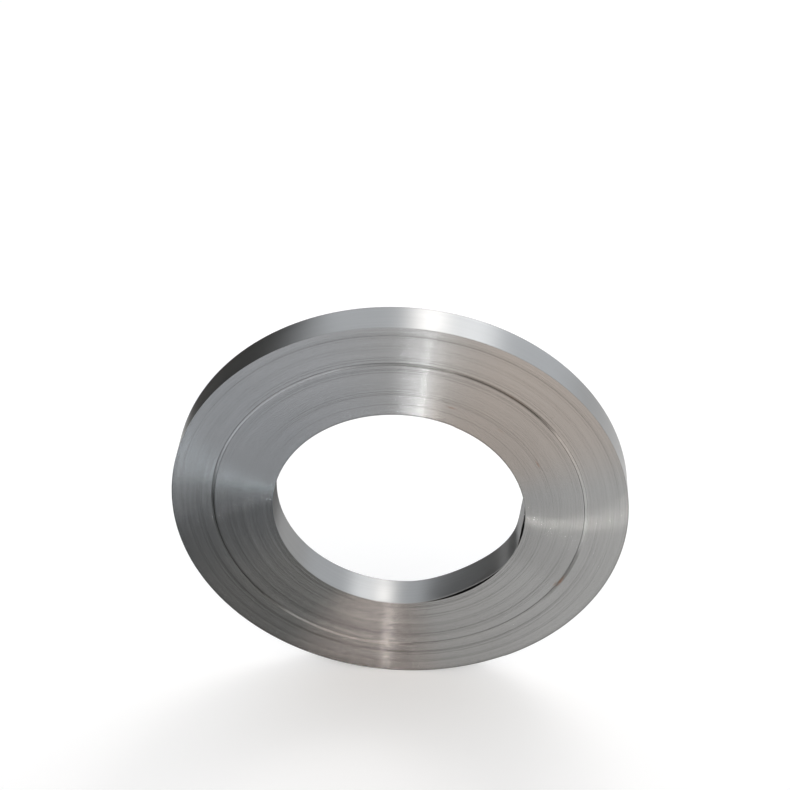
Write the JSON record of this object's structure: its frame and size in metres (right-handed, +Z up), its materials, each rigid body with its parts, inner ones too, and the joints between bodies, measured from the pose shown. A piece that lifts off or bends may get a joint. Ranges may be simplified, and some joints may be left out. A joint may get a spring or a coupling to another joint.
{
  "type": "steel coil",
  "caption": "Narrow coil of slit steel strip, wound tight on itself, standing on its edge with an open bore through it.",
  "frame": {"origin": "centre of the bore, at half the strip's width", "axes": "+Y along the coil's axis, from the front end to the back end; +Z up, with the coil standing on its outer wall; +X to the right seen from the front end"},
  "size_m": [0.9203, 0.0698, 0.9197],
  "materials": {
    "cold_rolled_strip": "bright cold-rolled strip: smooth and shiny on the wound walls, finely lined with the slit edges of the turns on the ends"
  },
  "bodies": {
    "root": {"strip_coil": "cold_rolled_strip"}
  },
  "joints": []
}
